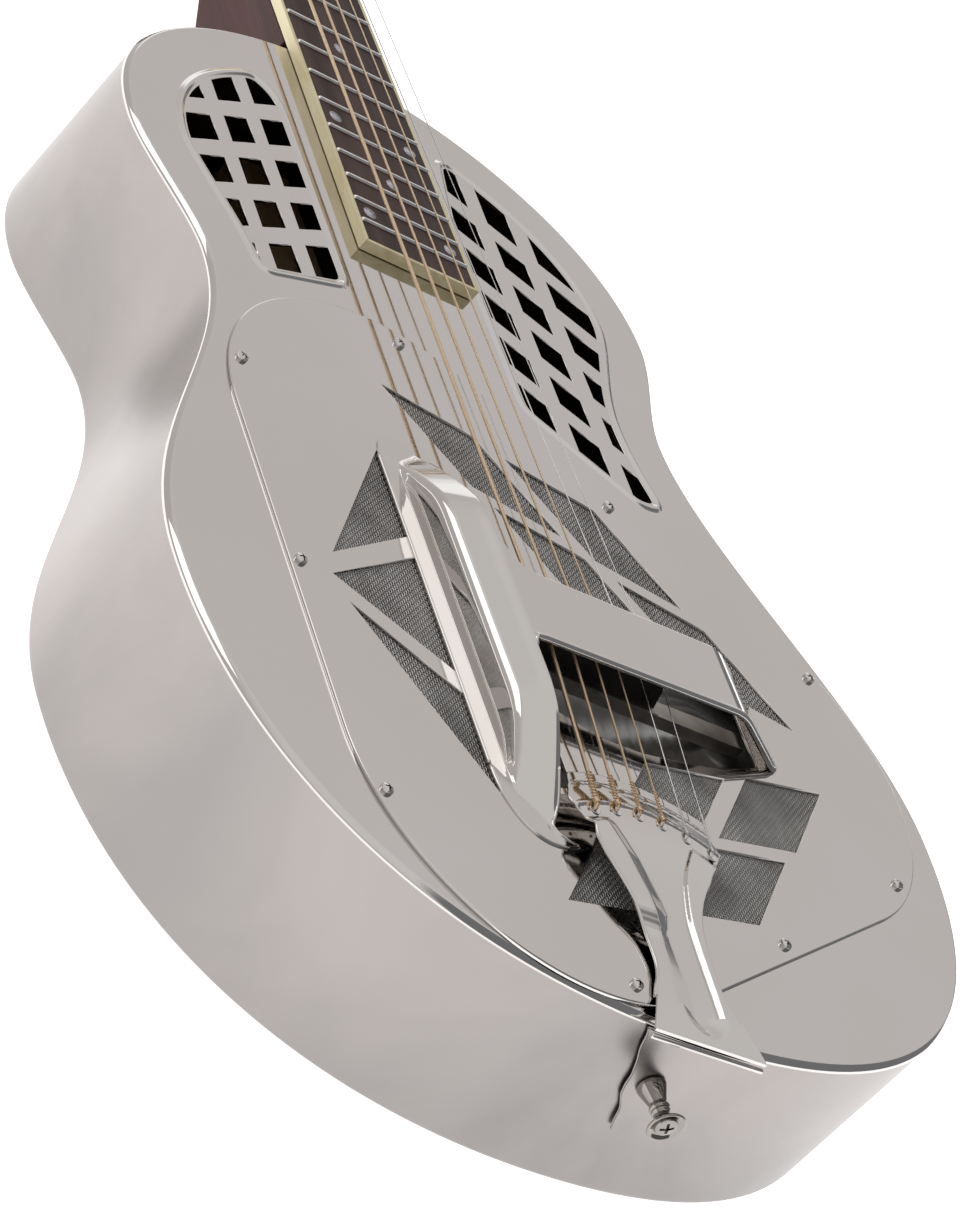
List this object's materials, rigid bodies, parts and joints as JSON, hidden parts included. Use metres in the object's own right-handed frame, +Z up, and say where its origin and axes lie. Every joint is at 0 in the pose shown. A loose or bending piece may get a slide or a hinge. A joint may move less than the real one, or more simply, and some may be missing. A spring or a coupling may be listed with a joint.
{
  "type": "resonator guitar",
  "caption": "Metal-bodied resonator guitar with screened rounded-triangle cover plate, T-shaped hand rest, slanted grilles, hinged tailpiece and slotted head.",
  "frame": {"origin": "on the flat back at the centreline, straight under the scale end of the strings, with the guitar lying on its back", "axes": "+X from the bass side to the treble side, +Y along the centreline from the tail to the head, +Z up from the back through the top plate"},
  "size_m": [0.348, 0.9839, 0.097],
  "materials": {
    "body": "polished nickel plate, slightly warm, soft mirror",
    "body_satin": "nickel-plated steel with a soft satin sheen",
    "cover": "polished nickel plate",
    "screen": "fine dull woven wire mesh",
    "hand_rest": "polished nickel plate",
    "tailpiece": "polished nickel plate",
    "hardware": "polished nickel",
    "cone": "thin spun aluminium",
    "bridge_metal": "cast aluminium, lightly smoothed",
    "saddle": "dark ebony, satin",
    "neck": "red-brown stained mahogany, satin lacquer",
    "fretboard": "dark brown rosewood, open pores",
    "headplate": "dark rosewood veneer, satin",
    "binding": "aged cream celluloid",
    "nut": "bone",
    "wound_string": "bronze winding, bright",
    "plain_string": "plain steel wire",
    "stick": "raw maple",
    "button": "cream celluloid"
  },
  "bodies": {
    "guitar": {"body_back": "body_satin", "body_sides": "body_satin", "body_top": "body", "neck_stick": "stick", "soundwell": "body_satin", "cone_bass_front": "cone", "cone_bass_rear": "cone", "cone_treble": "cone", "t_bridge": "bridge_metal", "saddle": "saddle", "coverplate": "cover", "coverplate_screen": "screen", "cover_screw_1": "hardware", "cover_screw_2": "hardware", "cover_screw_3": "hardware", "cover_screw_4": "hardware", "cover_screw_5": "hardware", "cover_screw_6": "hardware", "cover_screw_7": "hardware", "cover_screw_8": "hardware", "cover_screw_9": "hardware", "bridge_cover": "hand_rest", "tailpiece": "tailpiece", "tailpiece_bracket": "hardware", "tailpiece_hinge_pin": "hardware", "strap_button": "hardware", "strap_button_screw": "hardware", "neck": "neck", "fretboard": "fretboard", "fretboard_binding": "binding", "nut": "nut", "headplate": "headplate", "tuner_plate_bass": "hardware", "tuner_plate_treble": "hardware", "string_1": "plain_string", "string_2": "plain_string", "string_3": "wound_string", "string_4": "wound_string", "string_5": "wound_string", "string_6": "wound_string"},
    "button_1": {"tuner_worm_1": "hardware", "tuner_button_1": "button"},
    "roller_1": {"tuner_roller_1": "hardware"},
    "button_2": {"tuner_worm_2": "hardware", "tuner_button_2": "button"},
    "roller_2": {"tuner_roller_2": "hardware"},
    "button_3": {"tuner_worm_3": "hardware", "tuner_button_3": "button"},
    "roller_3": {"tuner_roller_3": "hardware"},
    "button_4": {"tuner_worm_4": "hardware", "tuner_button_4": "button"},
    "roller_4": {"tuner_roller_4": "hardware"},
    "button_5": {"tuner_worm_5": "hardware", "tuner_button_5": "button"},
    "roller_5": {"tuner_roller_5": "hardware"},
    "button_6": {"tuner_worm_6": "hardware", "tuner_button_6": "button"},
    "roller_6": {"tuner_roller_6": "hardware"}
  },
  "joints": [
    {"name": "button_turn_1", "type": "hinge", "parent": "guitar", "child": "button_1", "pos_m": [-0.0413, 0.68362, 0.05643], "axis": [0, 0.2588, 0.9659], "continuous": true},
    {"name": "roller_turn_1", "type": "hinge", "parent": "guitar", "child": "roller_1", "pos_m": [-0.02, 0.69202, 0.05418], "axis": [1, 0, 0], "continuous": true},
    {"name": "button_turn_2", "type": "hinge", "parent": "guitar", "child": "button_2", "pos_m": [-0.0413, 0.71936, 0.04685], "axis": [0, 0.2588, 0.9659], "continuous": true},
    {"name": "roller_turn_2", "type": "hinge", "parent": "guitar", "child": "roller_2", "pos_m": [-0.02, 0.72776, 0.0446], "axis": [1, 0, 0], "continuous": true},
    {"name": "button_turn_3", "type": "hinge", "parent": "guitar", "child": "button_3", "pos_m": [-0.0413, 0.7551, 0.03728], "axis": [0, 0.2588, 0.9659], "continuous": true},
    {"name": "roller_turn_3", "type": "hinge", "parent": "guitar", "child": "roller_3", "pos_m": [-0.02, 0.7635, 0.03503], "axis": [1, 0, 0], "continuous": true},
    {"name": "button_turn_4", "type": "hinge", "parent": "guitar", "child": "button_4", "pos_m": [0.0413, 0.68362, 0.05643], "axis": [0, 0.2588, 0.9659], "continuous": true},
    {"name": "roller_turn_4", "type": "hinge", "parent": "guitar", "child": "roller_4", "pos_m": [0.02, 0.69202, 0.05418], "axis": [1, 0, 0], "continuous": true},
    {"name": "button_turn_5", "type": "hinge", "parent": "guitar", "child": "button_5", "pos_m": [0.0413, 0.71936, 0.04685], "axis": [0, 0.2588, 0.9659], "continuous": true},
    {"name": "roller_turn_5", "type": "hinge", "parent": "guitar", "child": "roller_5", "pos_m": [0.02, 0.72776, 0.0446], "axis": [1, 0, 0], "continuous": true},
    {"name": "button_turn_6", "type": "hinge", "parent": "guitar", "child": "button_6", "pos_m": [0.0413, 0.7551, 0.03728], "axis": [0, 0.2588, 0.9659], "continuous": true},
    {"name": "roller_turn_6", "type": "hinge", "parent": "guitar", "child": "roller_6", "pos_m": [0.02, 0.7635, 0.03503], "axis": [1, 0, 0], "continuous": true}
  ],
  "couplings": [
    {"joint": "roller_turn_1", "follows": "button_turn_1", "ratio": 0.071429},
    {"joint": "roller_turn_2", "follows": "button_turn_2", "ratio": 0.071429},
    {"joint": "roller_turn_3", "follows": "button_turn_3", "ratio": 0.071429},
    {"joint": "roller_turn_4", "follows": "button_turn_4", "ratio": 0.071429},
    {"joint": "roller_turn_5", "follows": "button_turn_5", "ratio": 0.071429},
    {"joint": "roller_turn_6", "follows": "button_turn_6", "ratio": 0.071429}
  ]
}
